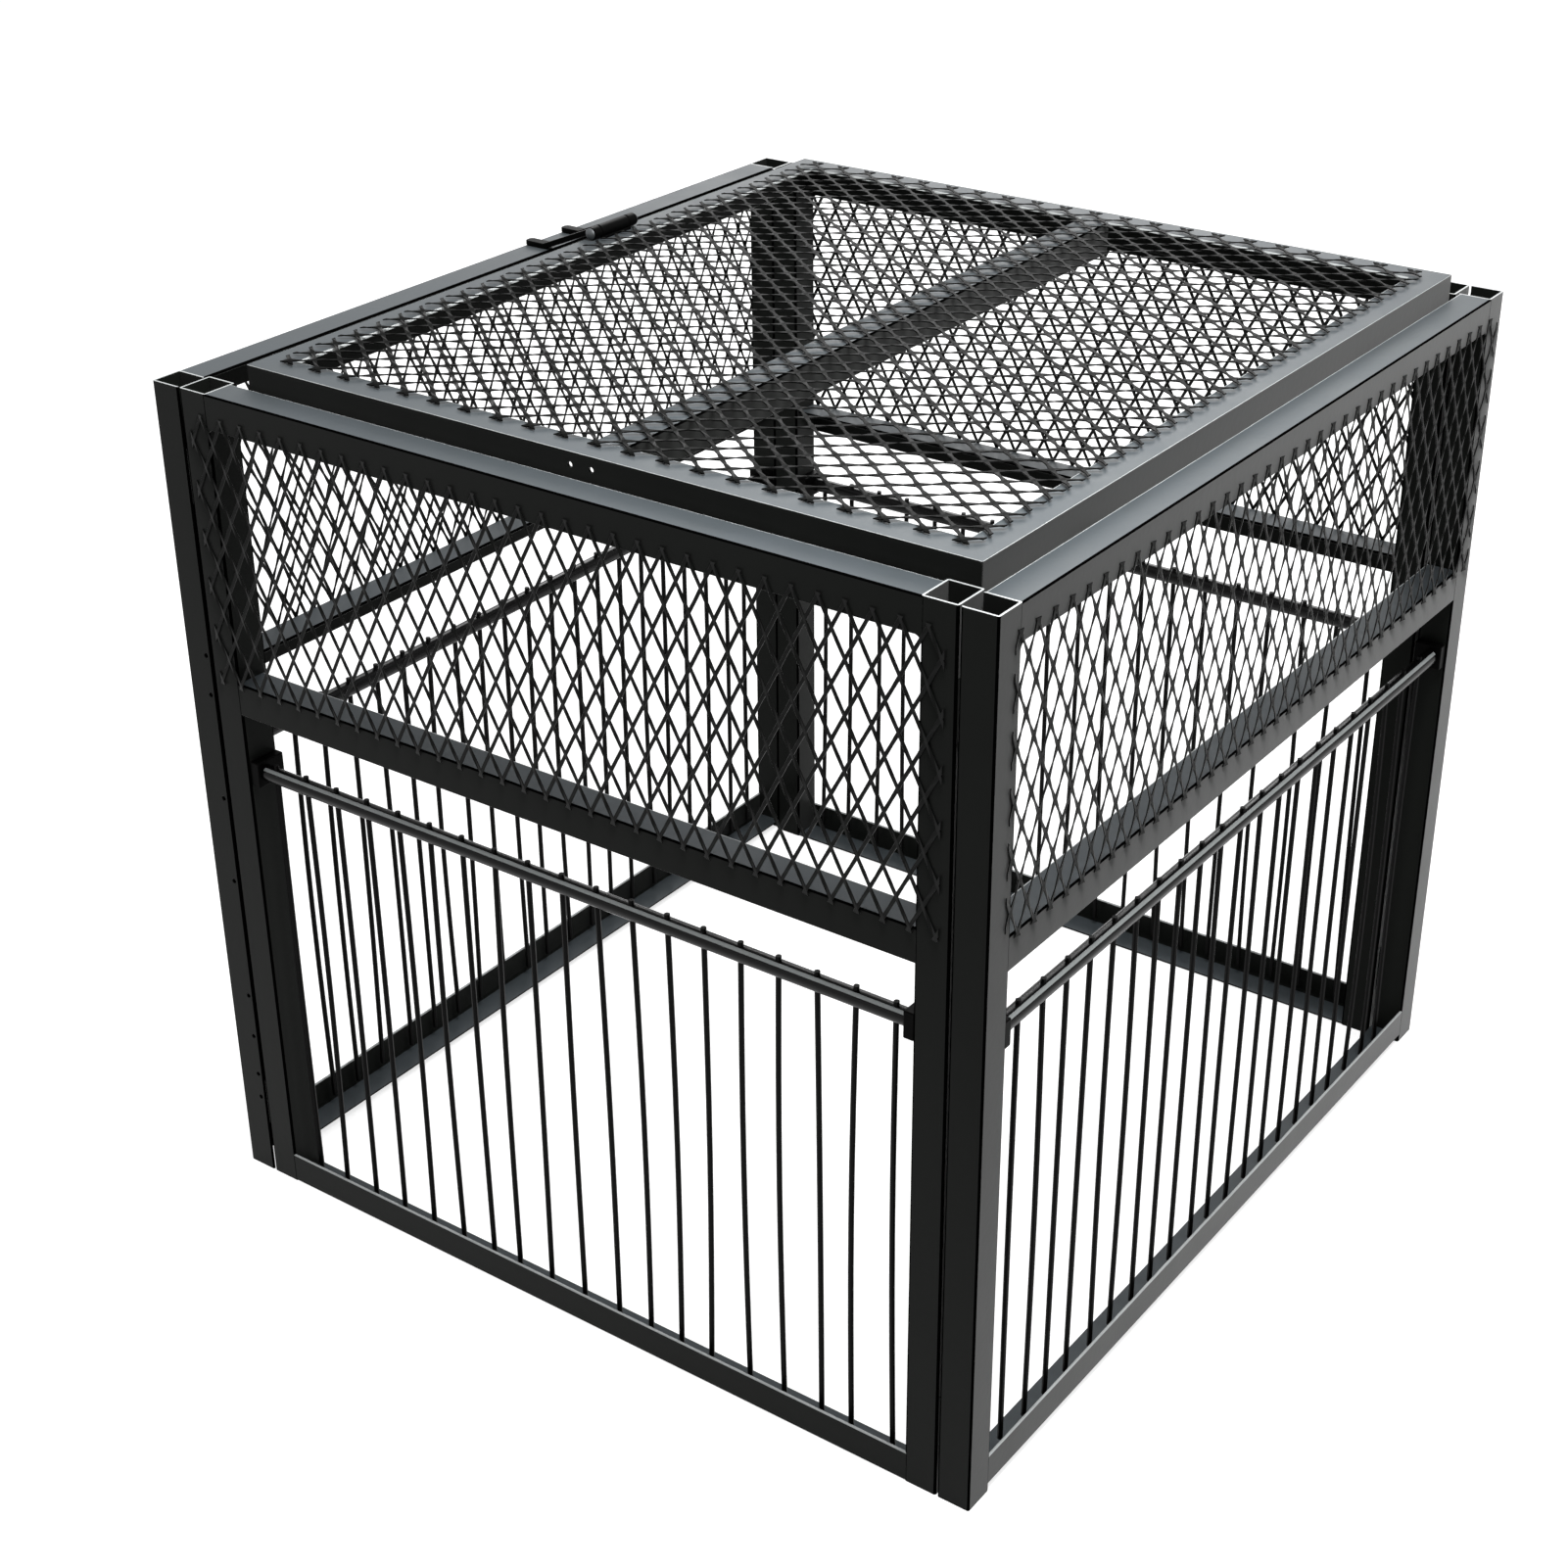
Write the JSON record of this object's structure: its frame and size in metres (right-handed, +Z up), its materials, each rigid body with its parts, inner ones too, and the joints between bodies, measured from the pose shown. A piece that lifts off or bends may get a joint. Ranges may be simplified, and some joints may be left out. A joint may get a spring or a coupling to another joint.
{
  "type": "pigeon trap",
  "caption": "Box cage of black powder-coated steel with expanded mesh above, swinging one-way gates of hanging wires below, and a hinged mesh lid.",
  "frame": {"origin": "on the ground at the middle of the cage's footprint", "axes": "+X to the cage's right side, away from the lid hinge; +Y from the front panel to the back panel; +Z up"},
  "size_m": [0.6836, 0.7136, 0.6803],
  "materials": {
    "powder_coated_steel": "satin",
    "zinc_plated_pin": "satin"
  },
  "bodies": {
    "cage": {"front_left_stile": "powder_coated_steel", "front_gate_left_bush": "powder_coated_steel", "front_right_stile": "powder_coated_steel", "front_gate_right_bush": "powder_coated_steel", "front_top_rail": "powder_coated_steel", "front_mid_rail": "powder_coated_steel", "front_bottom_rail": "powder_coated_steel", "front_mesh": "powder_coated_steel", "right_front_stile": "powder_coated_steel", "right_gate_front_bush": "powder_coated_steel", "right_back_stile": "powder_coated_steel", "right_gate_back_bush": "powder_coated_steel", "right_top_rail": "powder_coated_steel", "right_mid_rail": "powder_coated_steel", "right_bottom_rail": "powder_coated_steel", "right_mesh": "powder_coated_steel", "back_right_stile": "powder_coated_steel", "back_gate_right_bush": "powder_coated_steel", "back_left_stile": "powder_coated_steel", "back_gate_left_bush": "powder_coated_steel", "back_top_rail": "powder_coated_steel", "back_mid_rail": "powder_coated_steel", "back_bottom_rail": "powder_coated_steel", "back_mesh": "powder_coated_steel", "left_back_stile": "powder_coated_steel", "left_gate_back_bush": "powder_coated_steel", "left_front_stile": "powder_coated_steel", "left_gate_front_bush": "powder_coated_steel", "left_top_rail": "powder_coated_steel", "left_mid_rail": "powder_coated_steel", "left_bottom_rail": "powder_coated_steel", "left_mesh": "powder_coated_steel", "front_left_lower_cleat": "powder_coated_steel", "front_left_upper_cleat": "powder_coated_steel", "front_right_lower_cleat": "powder_coated_steel", "front_right_upper_cleat": "powder_coated_steel", "back_left_lower_cleat": "powder_coated_steel", "back_left_upper_cleat": "powder_coated_steel", "back_right_lower_cleat": "powder_coated_steel", "back_right_upper_cleat": "powder_coated_steel", "hinge_front_strap": "powder_coated_steel", "hinge_back_strap": "powder_coated_steel", "hinge_pin": "zinc_plated_pin", "lid_front_rest": "powder_coated_steel", "lid_back_rest": "powder_coated_steel"},
    "lid": {"lid_front_rail": "powder_coated_steel", "lid_back_rail": "powder_coated_steel", "lid_left_rail": "powder_coated_steel", "lid_right_rail": "powder_coated_steel", "lid_centre_bar": "powder_coated_steel", "lid_mesh": "powder_coated_steel", "lid_knuckle": "powder_coated_steel"},
    "front_gate": {"front_gate": "powder_coated_steel"},
    "right_gate": {"right_gate": "powder_coated_steel"},
    "back_gate": {"back_gate": "powder_coated_steel"},
    "left_gate": {"left_gate": "powder_coated_steel"}
  },
  "joints": [
    {"name": "front_gate_swing", "type": "hinge", "parent": "cage", "child": "front_gate", "pos_m": [0, -0.345, 0.365], "axis": [1, 0, 0], "range_deg": [0, 60]},
    {"name": "right_gate_swing", "type": "hinge", "parent": "cage", "child": "right_gate", "pos_m": [0.33, 0, 0.365], "axis": [0, 1, 0], "range_deg": [0, 60]},
    {"name": "back_gate_swing", "type": "hinge", "parent": "cage", "child": "back_gate", "pos_m": [0, 0.345, 0.365], "axis": [-1, 0, 0], "range_deg": [0, 60]},
    {"name": "left_gate_swing", "type": "hinge", "parent": "cage", "child": "left_gate", "pos_m": [-0.33, 0, 0.365], "axis": [0, -1, 0], "range_deg": [0, 60]},
    {"name": "lid_hinge", "type": "hinge", "parent": "cage", "child": "lid", "pos_m": [-0.271, 0.058, 0.6753], "axis": [0, -1, 0], "range_deg": [0, 175]}
  ]
}
